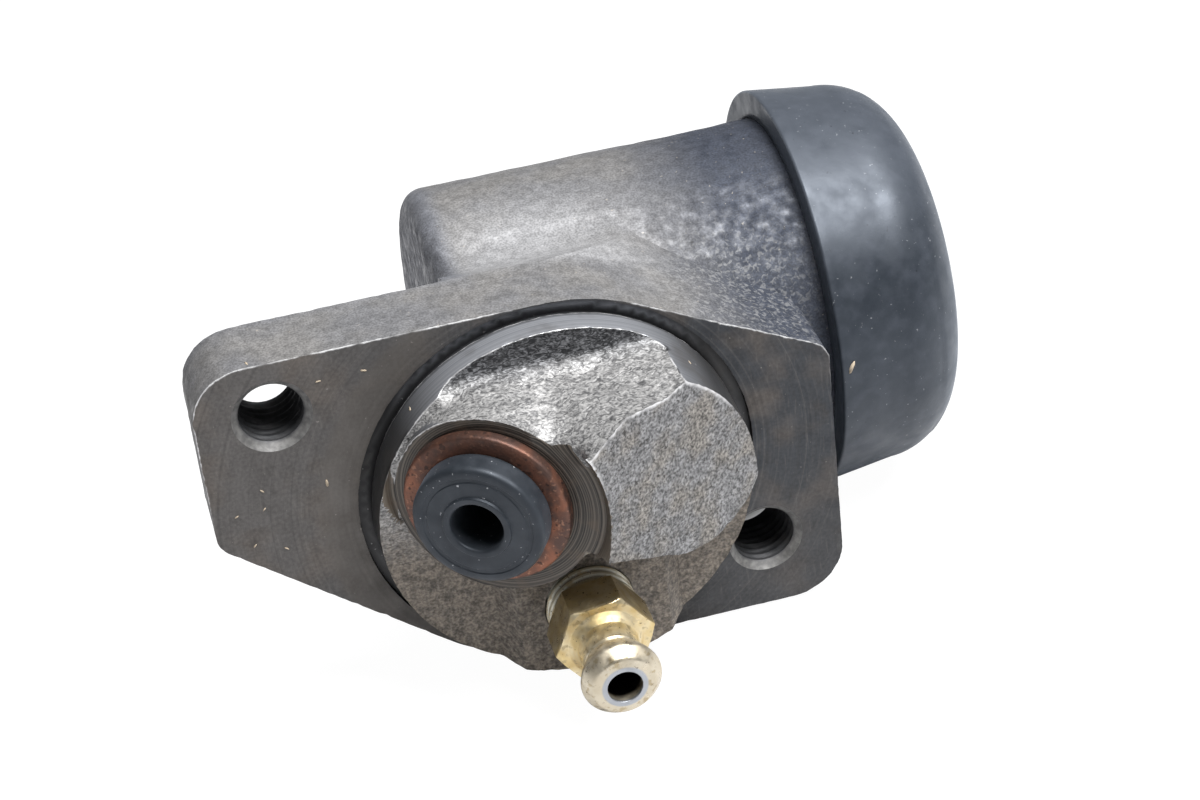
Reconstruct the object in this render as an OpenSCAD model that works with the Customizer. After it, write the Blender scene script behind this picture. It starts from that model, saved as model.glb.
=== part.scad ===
// Wheel cylinder with one piston: flanged cast body, bleed screw, plugged hose port and rubber boot.
// Millimetres. The barrel lies along X, the mounting face looks towards -Y and Z is up.
// The origin is the spigot centre on the mounting face.

/* [Flange] */
// Thickness of the flange plate
flange_t = 8.8; // [8:0.1:9.6]
// Distance from the spigot centre to the top edge
top_edge = 21.9; // [21.9:0.1:23]
// Distance from the spigot centre to the sloping upper right edge
upper_edge = 22.1; // [22:0.1:23]
// Direction that the sloping upper right edge faces, in degrees from X
upper_turn = 63; // [58:1:68]
// Distance from the spigot centre to the right edge
right_edge = 31; // [29.5:0.1:31.5]
// Distance from the spigot centre to the bottom edge
bottom_edge = 23; // [22.5:0.1:24]
// Distance from the spigot centre to the sloping lower left edge
lower_edge = 23; // [22.5:0.1:24]
// Direction that the sloping lower left edge faces, in degrees from X
lower_turn = 230.5; // [226:0.5:235]
// Distance from the spigot centre to the left edge
left_edge = 37; // [36:0.1:39]
// Radius of the two outer corners beside the bolt holes
ear_r = 6; // [5:0.1:7]
// Radius of the blunt corners at the ends of the slopes
blunt_r = 2.5; // [2:0.1:3]

/* [Bolt holes] */
// Radius of the tapped holes, measured on the crests of the thread
bolt_r = 3.45; // [3.2:0.05:3.8]
// Left hole, across from the spigot centre
bolt_left_x = -28.8; // [-29.6:0.1:-28]
// Left hole, up from the spigot centre
bolt_left_z = 15.5; // [13:0.1:15.6]
// Right hole, across from the spigot centre
bolt_right_x = 22.2; // [22:0.1:24.5]
// Right hole, up from the spigot centre
bolt_right_z = -14.1; // [-16:0.1:-14]
// Depth and width of the countersink on the mounting face
bolt_sink = 0.8; // [0.4:0.1:1]

/* [Spigot] */
// Radius of the turned spigot wall
spigot_r = 20.4; // [20.2:0.05:20.5]
// Height of the straight part of that wall above the mounting face
wall_h = 3.2; // [3:0.1:3.3]
// Height of the as-cast spigot front above the mounting face
spigot_h = 4.7; // [4.4:0.1:5]
// Width of the turned groove at the foot of the spigot
groove_w = 1.3; // [1:0.05:1.35]
// Depth of that groove in the mounting face
groove_d = 0.8; // [0.4:0.1:1.2]
// How far that groove undercuts the spigot wall
groove_in = 0.3; // [0.25:0.05:0.4]
// How much the wall draws in from its straight part to the top of the bosses
wall_draw = 0.3; // [0.2:0.05:0.5]
// Radius at the foot of the hollow between the spigot rim and the bosses
hollow_r = 2.2; // [1.8:0.1:2.6]
// Where the hollow turns flat, measured up from the spigot centre
hollow_z = 18.4; // [18:0.1:18.6]
// How deep the hollow lies below the spigot front
hollow_d = 1.3; // [1:0.1:1.35]

/* [Bosses] */
// Lean of the hose port from the mounting face normal, in degrees
boss_turn = 30; // [28:0.5:32]
// Height of the as-cast facets, measured along the lean
facet_h = 16; // [15.6:0.1:16.4]
// Radius of both bosses at the facets
facet_r = 10.5; // [10.2:0.1:10.8]
// Height of the bosses above the spigot centre
boss_z = 5.5; // [5.2:0.1:5.8]
// Growth of the boss radius per millimetre of depth
boss_draft = 0.1; // [0.06:0.01:0.14]
// How far the port boss lies out from the lean axis
port_boss_out = 2.6; // [2.2:0.1:3]
// How far the blind boss lies out from the lean axis
blind_boss_out = 6; // [5.6:0.1:6.4]
// How far the blind boss is carried in from the lean axis, past the ridge
join_in = 11; // [10.6:0.1:11.4]
// Height of the lower corner there, above the spigot centre
join_low = 1.8; // [1.4:0.1:2.2]
// Height of the upper corner there, above the spigot centre
join_high = 12.7; // [12.3:0.1:13.1]
// How far the brow of the blind boss lies in from the lean axis
brow_in = 3.4; // [3:0.1:3.8]
// Height of that brow above the spigot centre
brow_z = 16.2; // [15.9:0.1:16.4]
// Left side of the bleed screw pad
pad_left = 7.4; // [7:0.1:8]
// Right side of the bleed screw pad
pad_right = 9.2; // [8.6:0.1:9.6]
// How far the sides of that pad run out to the spigot front
pad_run = 2; // [1.6:0.1:2.4]
// Height of the bleed screw pad above the mounting face
pad_h = 7; // [6.6:0.1:7.2]

/* [Hose port] */
// How far the port centre lies out from the lean axis
port_out = 2.84; // [2.4:0.02:3.2]
// Height of the port centre above the spigot centre
port_z = 6; // [5.8:0.1:6.2]
// Height of the turned spot face along the lean
spot_h = 13.1; // [12.8:0.1:13.3]
// Radius of the spot face
spot_r = 11.7; // [11.4:0.1:12]
// How far the spot face was cut off the port centre, towards the ridge
spot_shift = 0.7; // [0.4:0.1:1]
// Growth of the spot face radius per millimetre of height
spot_flare = 0.8; // [0.6:0.05:1]
// Radius of the port, measured on the crests of the thread
port_r = 4.3; // [4:0.1:4.6]
// Height of the port floor along the lean
port_floor = 2; // [1:0.1:3]
// Radius of the drilling from the port to the bore
port_drill_r = 1.6; // [1.2:0.1:2]
// Outer radius of the copper washer
washer_r = 9; // [8.6:0.1:9.4]
// Hole radius of the copper washer
washer_hole_r = 5; // [4.8:0.1:5.4]
// Thickness of the copper washer
washer_t = 1.6; // [1.2:0.1:2]
// Radius of the plug head
plug_r = 7.1; // [6.6:0.1:7.6]
// Height of the plug head
plug_h = 3; // [2.4:0.1:3.6]
// Length of the plug stem below its head
plug_stem = 9; // [7:0.1:9.5]
// Radius of the blind hole in the plug
plug_hole_r = 2.85; // [2.6:0.05:3]
// Radius of the low collar round the plug hole
plug_collar_r = 3.7; // [3.5:0.1:4]

/* [Bleed screw] */
// Bleed screw, across from the spigot centre
bleed_x = 0.4; // [0:0.1:0.8]
// Bleed screw, up from the spigot centre
bleed_z = -12; // [-12.4:0.1:-11.6]
// Radius of the bleed screw thread, measured as a plain shank
bleed_r = 4.9; // [4.7:0.05:5]
// How far the thread shows above its pad
bleed_show = 2.4; // [2:0.1:2.6]
// Hexagon across flats
hex_af = 9.6; // [9.2:0.1:10]
// Height of the hexagon
hex_h = 4.9; // [4.6:0.1:5.2]
// Turn of the hexagon's first corner from X, in degrees
hex_turn = 7; // [0:1:59]
// Radius of the neck behind the bulb
neck_r = 2.9; // [2.7:0.1:3.1]
// Radius of the bulb
bulb_r = 4.1; // [3.9:0.1:4.3]
// Length of the bulb
bulb_h = 4.8; // [4.6:0.1:5.2]
// Radius of the drilling in the bleed screw
bleed_hole_r = 1.9; // [1.6:0.1:2]

/* [Barrel] */
// Distance of the barrel axis behind the mounting face
barrel_y = 28; // [27.6:0.1:28.4]
// Outer radius of the barrel
barrel_r = 20; // [19.8:0.05:20.2]
// Bore radius
bore_r = 15.875; // [15.6:0.025:16.1]
// Outside of the closed end along X
closed_x = -7.9; // [-8.4:0.1:-7.4]
// Thickness of the closed end
closed_t = 5.9; // [5.6:0.1:6.2]
// Open end along X
open_x = 39.5; // [39:0.1:40]
// Radius round the closed end
closed_r = 2.6; // [2.2:0.1:3]
// Radius of the cast hollow between flange and barrel, on the underside
web_r = 5.5; // [5:0.1:5.6]
// Fall of the ramp from the top of the flange to the barrel, in degrees
ramp_turn = 27; // [24:1:30]
// Radius of the cast hollow between that ramp and the barrel
ramp_r = 8; // [7:0.1:9]
// Radius of the cast hollow at the foot of the closed end
foot_r = 3; // [2.6:0.1:3.4]
// Right end of the lower half of the neck along X
neck_end = 12; // [11:0.1:13]
// Depth of the rib below the barrel axis, right of the neck
rib_h = 9; // [8:0.1:10]

/* [Boot] */
// How far the boot rim reaches back over the barrel
rim_back = 5.9; // [5.6:0.1:6.2]
// Outer radius of the boot at its rim
rim_r = 23.3; // [23:0.1:23.6]
// Outer radius of the boot where its shoulder begins
shoulder_r = 22.2; // [22:0.1:22.5]
// Radius of the rounded shoulder
shoulder_curve = 8.2; // [7.8:0.1:8.6]
// How far the boot stands out from the open end
boot_reach = 10.3; // [10:0.1:10.6]
// Wall thickness of the boot
boot_t = 2.1; // [1.9:0.1:2.2]
// Depth of the groove in the barrel for the boot bead
bead_d = 0.8; // [0.6:0.1:1]
// Width of that groove
bead_w = 1.8; // [1.6:0.1:2]

/* [Piston] */
// Inner end of the piston along X
piston_x = 16; // [15.6:0.1:16.4]
// How far the full diameter of the piston ends inside the open end
land_in = 2.5; // [2:0.1:3.5]
// Radius of the piston nose
nose_r = 10; // [9.8:0.1:10.2]
// Depth of the nose groove that takes the boot lip
lip_d = 1.4; // [1.2:0.1:1.6]
// Length of that groove
lip_w = 3; // [2.8:0.1:3.2]
// How far the nose end stays inside the boot end
nose_in = 0.3; // [0.2:0.1:0.6]
// Length of the collar outside the lip groove
nose_collar = 2.3; // [2.1:0.1:2.5]
// Width of the slot for the brake shoe web
slot_w = 6.2; // [5.6:0.1:6.6]
// Depth of that slot
slot_d = 8; // [7:0.1:9]

/* [Seal and spring] */
// Thickness of the seal cup behind the piston
cup_t = 3; // [2.6:0.1:3.4]
// Length of the seal lip
cup_lip = 3.5; // [3:0.1:4]
// Thickness of the seal lip
lip_t = 2.6; // [2.2:0.1:3]
// Thickness of the spreader plate
spreader_t = 1.2; // [1:0.1:1.4]
// Height of the spreader boss that centres the spring
spreader_h = 4; // [3.4:0.1:4.6]
// Mean radius of the return spring
spring_r = 8; // [7.6:0.1:8.4]
// Wire radius of the return spring
wire_r = 0.65; // [0.55:0.05:0.75]
// Turns of the return spring
spring_turns = 5; // [4:1:6]

/* [Fits] */
// Radial clearance of the piston in the bore
piston_gap = 0.04; // [0.02:0.01:0.06]
// Radial clearance of the seal in the bore
seal_gap = 0.02; // [0.01:0.01:0.04]
// Radial clearance of the rubber pieces on the metal ones
rubber_gap = 0.03; // [0.02:0.01:0.05]
// Radial clearance of the bleed screw in its hole
bleed_gap = 0.05; // [0.03:0.01:0.08]

/* [Hidden] */
$fn = 64;
eps = 0.01;
over = 5;
sunk = 1;
deep = 20;
loose = 0.3;
dip = 0.15;
bore_x = closed_x + closed_t;
web_y = flange_t + web_r - dip;
web_z = sqrt(pow(barrel_r + web_r - dip, 2) - pow(barrel_y - web_y, 2));
web_end = barrel_y - (barrel_y - web_y) * barrel_r / (barrel_r + web_r);
ramp_way = [cos(ramp_turn), -sin(ramp_turn)];
ramp_up = [sin(ramp_turn), cos(ramp_turn)];
ramp_start = [flange_t, top_edge];
ramp_side = ramp_start + ramp_r * ramp_up - [barrel_y, 0];
ramp_half = ramp_side * ramp_way;
ramp_reach = pow(barrel_r + ramp_r - dip, 2) - ramp_side * ramp_side;
ramp_len = -ramp_half - sqrt(pow(ramp_half, 2) + ramp_reach);
ramp_foot = ramp_start + ramp_len * ramp_way;
ramp_mid = ramp_foot + ramp_r * ramp_up;
ramp_end = barrel_y - (barrel_y - ramp_mid[0]) * barrel_r / (barrel_r + ramp_r);
rim_x = open_x - rim_back;
boot_end = open_x + boot_reach;
land_x = open_x - land_in;
groove_r = spigot_r + groove_w;
nose_x = boot_end - nose_in;
lip_x1 = nose_x - nose_collar;
lip_x0 = lip_x1 - lip_w;
lip_r = nose_r - lip_d;
shoulder_x = boot_end - shoulder_curve;
bead_x = (rim_x + open_x) / 2 - bead_w / 2;
cup_x = piston_x - cup_t;
cup_in_r = bore_r - seal_gap - lip_t;
spring_x = cup_x - spreader_t;
plug_floor_h = spot_h + washer_t - plug_stem;
plug_end = 1.4;
roof_y = facet_h / cos(boss_turn);
rim_h = spigot_h - hollow_d;
join_leave = 244;
join_meet = 107;
bleed_tip = -8.3;
bleed_tip_r = 0.9;
bleed_seat = -6;
bleed_shank = -3.2;
bleed_cross = -4.4;
bleed_drill_r = 1.4;
nipple_r = 3.2;
flare_h = 1.6;
neck_h = 3.2;
bulb_back = 0.8;
bulb_offset = 0.6;
hex_bevel = 0.2;
hex_slope = 1.6;
hex_base = pad_h + bleed_show;
hex_top = hex_base + hex_h;
hex_in = hex_af / 2 + hex_bevel;
bulb_base = hex_top + neck_h;
bulb_top = bulb_base + bulb_h;
sides = [
    [0, right_edge],
    [upper_turn, upper_edge],
    [90, top_edge],
    [180, left_edge],
    [lower_turn, lower_edge],
    [270, bottom_edge]
];
corners = [blunt_r, upper_edge - 0.1, ear_r, blunt_r, lower_edge - 0.1, ear_r];

// Point where two sides meet; a side is the direction it faces and its distance from the centre.
function meet(a, b) = let (s = sin(b[0] - a[0]))
    [(a[1] * sin(b[0]) - b[1] * sin(a[0])) / s, (b[1] * cos(a[0]) - a[1] * cos(b[0])) / s];
function moved(a, d) = [a[0], a[1] + d];
function facing(a, d) = [d * cos(a[0]), d * sin(a[0])];

// Stands children up along the mounting face normal, so that their height runs towards -Y.
module along_normal() rotate([90, 0, 0]) children();

// Leans children over by the boss angle to one side; their height is then measured along the lean.
module along_lean(side) rotate([0, 0, side * boss_turn]) along_normal() children();

// Lays children along the barrel axis, so that their height runs along X.
module along_barrel() translate([0, barrel_y, 0]) rotate([0, 90, 0]) children();

module flange_outline() {
    n = len(sides);
    difference() {
        polygon([for (i = [0 : n - 1]) meet(sides[i], sides[(i + 1) % n])]);
        for (i = [0 : n - 1]) {
            a = sides[i];
            b = sides[(i + 1) % n];
            r = corners[i];
            c = meet(moved(a, -r), moved(b, -r));
            difference() {
                polygon([c, c + facing(a, r + over), meet(moved(a, over), moved(b, over)),
                         c + facing(b, r + over)]);
                translate(c) circle(r);
            }
        }
    }
}

// One round as-cast boss, which grows wider towards the flange.
module boss(side, out)
    along_lean(side) translate([side * out, boss_z, 0])
    cylinder(h = facet_h, r1 = facet_r + boss_draft * facet_h, r2 = facet_r);

// Carries the blind boss over to the ridge; the block starts a little inside its round on both sides.
module boss_join() {
    low = (facet_r - dip) * [cos(join_leave), sin(join_leave)];
    high = (facet_r - dip) * [cos(join_meet), sin(join_meet)];
    mid = [blind_boss_out, boss_z];
    along_lean(1) linear_extrude(facet_h)
        polygon([mid, mid + high, [-brow_in, brow_z],
                 [-join_in, join_high], [-join_in, join_low], mid + low]);
}

// As-cast disc of the spigot, with a hollow along its top and a raised pad for the bleed screw.
module spigot_disc() {
    reach = 2 * spigot_r;
    difference() {
        along_normal() translate([0, 0, -1]) cylinder(h = spigot_h + 1, r = spigot_r + over);
        translate([-reach, -reach, hollow_z]) cube([2 * reach, reach - rim_h, reach]);
        translate([0, -rim_h - hollow_r, hollow_z]) rotate([0, 90, 0])
            cylinder(h = 2 * reach, r = hollow_r, center = true);
    }
    translate([0, 0, -reach]) linear_extrude(reach)
        polygon([[-pad_left, 0], [-pad_left - pad_run, -spigot_h], [-pad_left, -pad_h], [pad_right, -pad_h],
                 [pad_right + pad_run, -spigot_h], [pad_right, 0]]);
}

// Everything in front of the mounting face, turned down to the spigot wall.
module spigot() {
    reach = 2 * spigot_r;
    eave = roof_y - reach * tan(boss_turn);
    intersection() {
        union() {
            spigot_disc();
            boss(-1, port_boss_out);
            boss(1, blind_boss_out);
            boss_join();
        }
        translate([0, 0, -reach]) linear_extrude(2 * reach)
            polygon([[0, -roof_y], [reach, -eave], [reach, 1], [-reach, 1], [-reach, -eave]]);
        along_normal() rotate_extrude()
            polygon([[0, -1], [spigot_r, -1], [spigot_r, wall_h],
                     [spigot_r - wall_draw, roof_y], [0, roof_y]]);
    }
}

module barrel() {
    along_barrel() rotate_extrude() {
        translate([0, closed_x + closed_r]) square([barrel_r, open_x - closed_x - closed_r]);
        translate([0, closed_x]) square([barrel_r - closed_r, closed_r + 1]);
        translate([barrel_r - closed_r, closed_x + closed_r]) intersection() {
            circle(closed_r);
            translate([0, -closed_r]) square(closed_r);
        }
    }
}

// Solid metal between flange and barrel, inside the flange outline and with cast hollows on its sides.
// A ramp leads from the top of the flange into the barrel. The lower half stops short of the right bolt hole,
// and only a rib goes on from there.
module neck() {
    x0 = closed_x - foot_r;
    y0 = flange_t - sunk;
    reach = 4 * barrel_r;
    difference() {
        intersection() {
            along_normal() translate([0, 0, -barrel_y]) linear_extrude(barrel_y - y0) flange_outline();
            union() {
                translate([x0, y0, -rib_h]) cube([right_edge - sunk - x0, ramp_end - y0, rib_h + top_edge]);
                translate([x0, y0, -web_z]) cube([neck_end - x0, web_end - y0, web_z]);
            }
        }
        translate([-reach, 0, 0]) rotate([90, 0, 90]) linear_extrude(2 * reach)
            polygon([ramp_start - ramp_way, ramp_foot, ramp_mid,
                     ramp_mid + [0, reach], ramp_start + [-sunk, reach]]);
        translate([0, ramp_mid[0], ramp_mid[1]]) rotate([0, 90, 0])
            cylinder(h = 2 * reach, r = ramp_r, center = true);
        translate([0, web_y, -web_z]) rotate([0, 90, 0]) cylinder(h = 2 * reach, r = web_r, center = true);
        translate([x0, flange_t + foot_r - dip, 0]) cylinder(h = reach, r = foot_r, center = true);
        translate([x0 - sunk, flange_t + foot_r - dip, -barrel_r - sunk])
            cube([foot_r + sunk, barrel_y, 2 * (barrel_r + sunk) + web_r]);
    }
}

module bolt_hole(x, z) {
    along_normal() translate([x, z, 0]) {
        translate([0, 0, -flange_t - sunk]) cylinder(h = flange_t + 2 * sunk, r = bolt_r);
        translate([0, 0, -bolt_sink])
            cylinder(h = bolt_sink + sunk, r1 = bolt_r, r2 = bolt_r + bolt_sink + sunk);
    }
}

module port_hole() {
    along_lean(-1) translate([-port_out, port_z, 0]) {
        translate([spot_shift, 0, spot_h]) cylinder(h = deep, r1 = spot_r, r2 = spot_r + spot_flare * deep);
        translate([0, 0, port_floor]) cylinder(h = deep, r = port_r);
        translate([0, 0, -deep]) cylinder(h = deep + port_floor + sunk, r = port_drill_r);
    }
}

module bleed_hole() {
    hole_r = bleed_r + bleed_gap;
    along_normal() translate([bleed_x, bleed_z, 0]) {
        translate([0, 0, bleed_shank - loose]) cylinder(h = deep, r = hole_r);
        translate([0, 0, bleed_seat]) cylinder(h = bleed_shank - bleed_seat, r = nipple_r + loose);
        translate([0, 0, bleed_seat - nipple_r - loose])
            cylinder(h = nipple_r + loose + eps, r1 = 0, r2 = nipple_r + loose);
        translate([0, 0, -barrel_y]) cylinder(h = barrel_y + bleed_seat, r = bleed_drill_r);
    }
}

module cylinder_body() color("#56524f") difference() {
    union() {
        along_normal() translate([0, 0, -flange_t]) linear_extrude(flange_t) flange_outline();
        spigot();
        barrel();
        neck();
    }
    along_normal() translate([0, 0, -groove_d]) difference() {
        cylinder(h = groove_d, r = groove_r);
        translate([0, 0, -1]) cylinder(h = groove_d + 2, r = spigot_r - groove_in);
    }
    along_barrel() translate([0, 0, bore_x]) cylinder(h = open_x - bore_x + 1, r = bore_r);
    along_barrel() translate([0, 0, bead_x]) difference() {
        cylinder(h = bead_w, r = barrel_r + 1);
        translate([0, 0, -1]) cylinder(h = bead_w + 2, r = barrel_r - bead_d);
    }
    bolt_hole(bolt_left_x, bolt_left_z);
    bolt_hole(bolt_right_x, bolt_right_z);
    port_hole();
    bleed_hole();
}

module piston() color("#8d9296") difference() {
    along_barrel() union() {
        translate([0, 0, piston_x]) cylinder(h = land_x - piston_x, r = bore_r - piston_gap);
        translate([0, 0, piston_x]) cylinder(h = lip_x0 - piston_x, r = nose_r);
        translate([0, 0, piston_x]) cylinder(h = nose_x - piston_x, r = lip_r);
        translate([0, 0, lip_x1]) cylinder(h = nose_x - lip_x1, r = nose_r);
    }
    translate([nose_x - slot_d, barrel_y - slot_w / 2, -2 * nose_r]) cube([slot_d + 1, slot_w, 4 * nose_r]);
}

module piston_seal() color("#202124") along_barrel() translate([0, 0, cup_x - cup_lip]) difference() {
    cylinder(h = cup_lip + cup_t, r = bore_r - seal_gap);
    translate([0, 0, -1]) cylinder(h = cup_lip + 1, r = cup_in_r);
}

module cup_spreader() color("#b9b08a") along_barrel() {
    translate([0, 0, spring_x]) cylinder(h = spreader_t, r = cup_in_r - rubber_gap);
    translate([0, 0, spring_x + spreader_t - spreader_h])
        cylinder(h = spreader_h, r = spring_r - wire_r - loose);
}

// The spring is a round wire carried along a helix; each ring of points is one cut through the wire.
module return_spring() {
    cuts = 28 * spring_turns;
    ring = 10;
    length = spring_x - bore_x - 2 * wire_r - seal_gap;
    points = [for (i = [0 : cuts]) let (turn = 360 * spring_turns * i / cuts, x = wire_r + length * i / cuts)
        for (k = [0 : ring - 1]) let (r = spring_r + wire_r * cos(360 * k / ring))
            [r * cos(turn), r * sin(turn), x + wire_r * sin(360 * k / ring)]];
    walls = [for (i = [0 : cuts - 1]) for (k = [0 : ring - 1]) let (m = (k + 1) % ring)
        [i * ring + k, (i + 1) * ring + k, (i + 1) * ring + m, i * ring + m]];
    ends = [[for (k = [0 : ring - 1]) k], [for (k = [ring - 1 : -1 : 0]) cuts * ring + k]];
    color("#a9adb0") along_barrel() translate([0, 0, bore_x]) polyhedron(points, concat(walls, ends));
}

module dust_boot() {
    hole_r = lip_r + rubber_gap;
    seat_r = barrel_r + rubber_gap;
    curve_in = shoulder_curve - boot_t;
    inner_r = shoulder_r - boot_t;
    collar_r = hole_r + 2 * boot_t;
    recess_r = nose_r + 2 * loose;
    color("#25272b") along_barrel() rotate_extrude() difference() {
        union() {
            polygon([[0, rim_x], [rim_r, rim_x], [shoulder_r, shoulder_x], [0, shoulder_x]]);
            translate([0, shoulder_x]) square([shoulder_r - shoulder_curve, shoulder_curve]);
            translate([shoulder_r - shoulder_curve, shoulder_x]) intersection() {
                circle(shoulder_curve);
                square(shoulder_curve);
            }
        }
        translate([0, rim_x - 1]) square([hole_r, boot_end - rim_x + 2]);
        translate([0, lip_x1]) square([recess_r, boot_end - lip_x1 + 1]);
        difference() {
            translate([0, rim_x - 1]) square([seat_r, open_x + rubber_gap - rim_x + 1]);
            translate([barrel_r - bead_d + rubber_gap, bead_x + rubber_gap])
                square([bead_d + 1, bead_w - 2 * rubber_gap]);
        }
        translate([0, open_x]) square([inner_r, lip_x0 - open_x]);
        difference() {
            union() {
                translate([0, open_x]) square([inner_r, shoulder_x - open_x]);
                translate([0, shoulder_x]) square([inner_r - curve_in, curve_in]);
                translate([inner_r - curve_in, shoulder_x]) intersection() {
                    circle(curve_in);
                    square(curve_in);
                }
            }
            translate([0, lip_x0]) square([collar_r, boot_end]);
        }
    }
}

module bleed_screw() color("#b99a4e") translate([bleed_x, 0, bleed_z]) along_normal() difference() {
    union() {
        rotate_extrude() {
            polygon([[0, bleed_tip], [bleed_tip_r, bleed_tip], [nipple_r, bleed_seat],
                     [nipple_r, bleed_shank], [bleed_r, bleed_shank], [bleed_r, hex_base + sunk],
                     [0, hex_base + sunk]]);
            polygon([[0, hex_top - sunk], [bulb_r, hex_top - sunk], [bulb_r, hex_top],
                     [neck_r, hex_top + flare_h], [neck_r, bulb_base - bulb_back], [bulb_r, bulb_base],
                     [0, bulb_base]]);
            intersection() {
                translate([-bulb_offset, bulb_base + bulb_back]) circle(bulb_r + bulb_offset);
                translate([0, bulb_base - eps]) square([bulb_r, bulb_h + eps]);
            }
        }
        translate([0, 0, hex_base]) intersection() {
            rotate(hex_turn) cylinder(h = hex_h, d = hex_af / cos(30), $fn = 6);
            cylinder(h = hex_h, r1 = hex_in + hex_h * hex_slope, r2 = hex_in);
            cylinder(h = hex_h, r1 = hex_in, r2 = hex_in + hex_h * hex_slope);
        }
    }
    translate([0, 0, bleed_shank]) cylinder(h = bulb_top - bleed_shank + sunk, r = bleed_hole_r);
    translate([0, 0, bleed_cross]) cylinder(h = deep, r = bleed_tip_r);
    translate([0, 0, bleed_cross]) rotate([0, 90, 0]) cylinder(h = deep, r = bleed_tip_r, center = true);
}

module port_washer() color("#9a5a3c") along_lean(-1) translate([-port_out, port_z, spot_h]) difference() {
    cylinder(h = washer_t, r = washer_r);
    translate([0, 0, -1]) cylinder(h = washer_t + 2, r = washer_hole_r);
}

module port_plug() color("#3a414b") along_lean(-1) translate([-port_out, port_z, 0]) {
    head = spot_h + washer_t;
    difference() {
        union() {
            translate([0, 0, plug_floor_h]) cylinder(h = plug_stem + sunk, r = port_r - rubber_gap);
            translate([0, 0, head]) cylinder(h = plug_h, r = plug_r);
            translate([0, 0, head]) cylinder(h = plug_h + loose, r = plug_collar_r);
        }
        translate([0, 0, plug_floor_h + plug_end]) cylinder(h = plug_stem + plug_h, r = plug_hole_r);
    }
}

cylinder_body();
piston();
piston_seal();
cup_spreader();
return_spring();
dust_boot();
bleed_screw();
port_washer();
port_plug();
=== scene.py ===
# %% [markdown]
# # A wheel cylinder from a drum brake
# The CAD part gives every size and every moving body. This script adds what a drawing leaves out: the
# grain of the casting, turned rings, threads, worn edges, dull rubber and a little dirt, and it paints
# highlights and shade into some colours. It follows the order in which a viewer meets the pieces, so the
# big casting comes first and the loose dirt last.

# %% Load the CAD part
import math

import bmesh
import bpy
import numpy as np
from mathutils import Matrix, Vector, noise
from mathutils.geometry import delaunay_2d_cdt
from mathutils.kdtree import KDTree


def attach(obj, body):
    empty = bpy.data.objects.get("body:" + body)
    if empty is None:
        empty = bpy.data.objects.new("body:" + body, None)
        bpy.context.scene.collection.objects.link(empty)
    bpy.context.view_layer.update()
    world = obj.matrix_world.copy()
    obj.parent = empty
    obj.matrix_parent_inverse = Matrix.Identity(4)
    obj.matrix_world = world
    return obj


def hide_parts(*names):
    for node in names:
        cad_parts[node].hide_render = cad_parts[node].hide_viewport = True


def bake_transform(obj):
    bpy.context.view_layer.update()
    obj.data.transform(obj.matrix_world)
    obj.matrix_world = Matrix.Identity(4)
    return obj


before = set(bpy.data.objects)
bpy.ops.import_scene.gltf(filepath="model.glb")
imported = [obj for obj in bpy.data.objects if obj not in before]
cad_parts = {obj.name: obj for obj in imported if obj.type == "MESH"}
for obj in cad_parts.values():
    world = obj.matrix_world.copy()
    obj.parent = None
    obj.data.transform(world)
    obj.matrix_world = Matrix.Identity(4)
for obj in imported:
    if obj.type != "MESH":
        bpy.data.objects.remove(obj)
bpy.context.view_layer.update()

# %% [markdown]
# ## Even triangles for the casting
# A CAD export covers a flat face with a few long slivers, and slivers can't carry any roughness. A voxel
# remesh would even them out but melts the crisp turned edges. So each flat facet keeps its own outline:
# its edges are cut to an even length first, then the inside is filled with a lattice of points and joined
# by a constrained Delaunay triangulation. Facets of a round surface are bulged back to the true curve
# with the normals that the CAD file carries.


# %% Cover a CAD node with even triangles
def bulge(p, a, b, normal_a, normal_b, t):
    """How far a point on the chord from a to b lies from the curve through both ends (all in mm)."""
    return -0.5 * ((1 - t) * (p - a).dot(normal_a) * normal_a + t * (p - b).dot(normal_b) * normal_b)


def spread(points, corners):
    """Mean value weights of each inner point on the corners of its facet, one row per point."""
    to = corners[None] - points[:, None]
    far = np.linalg.norm(to, axis=2)
    after = np.roll(to, -1, axis=1)
    area = to[..., 0] * after[..., 1] - to[..., 1] * after[..., 0]
    area = np.where(np.abs(area) < 1e-9, 1e-9, area)
    half = (far * np.roll(far, -1, axis=1) - (to * after).sum(2)) / area
    weight = (half + np.roll(half, 1, axis=1)) / far
    return weight / weight.sum(1, keepdims=True)


def lattice(outline, size):
    """Points of a triangle lattice inside a flat outline, none of them close to its edge."""
    low, high = outline.min(0), outline.max(0)
    rows = np.arange(low[1] + size * 0.4, high[1], size * 0.866)
    cols = np.arange(low[0] + size * 0.3, high[0], size)
    if len(rows) == 0 or len(cols) == 0:
        return np.zeros((0, 2))
    x, y = np.meshgrid(cols, rows)
    x = x + (np.arange(len(rows)) % 2)[:, None] * size / 2
    p = np.column_stack([x.ravel(), y.ravel()])
    a, b = outline, np.roll(outline, -1, axis=0)
    keep = []
    for q in np.array_split(p, max(1, len(p) * len(a) // 400000)):
        over = (a[None, :, 1] > q[:, None, 1]) != (b[None, :, 1] > q[:, None, 1])
        rise = np.where(b[:, 1] == a[:, 1], 1, b[:, 1] - a[:, 1])
        cross = a[:, 0] + (q[:, None, 1] - a[:, 1]) / rise * (b[:, 0] - a[:, 0])
        inside = (over & (q[:, None, 0] < cross)).sum(1) % 2 == 1
        along = ((q[:, None] - a) * (b - a)).sum(2) / np.maximum(((b - a) ** 2).sum(1), 1e-12)
        foot = a + np.clip(along, 0, 1)[..., None] * (b - a)
        keep.append(inside & (np.linalg.norm(q[:, None] - foot, axis=2).min(1) > size * 0.55))
    return p[np.concatenate(keep)]


# An edge that turns by more than this (radians) is a sharp one.
SHARP_TURN = 0.45


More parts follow.
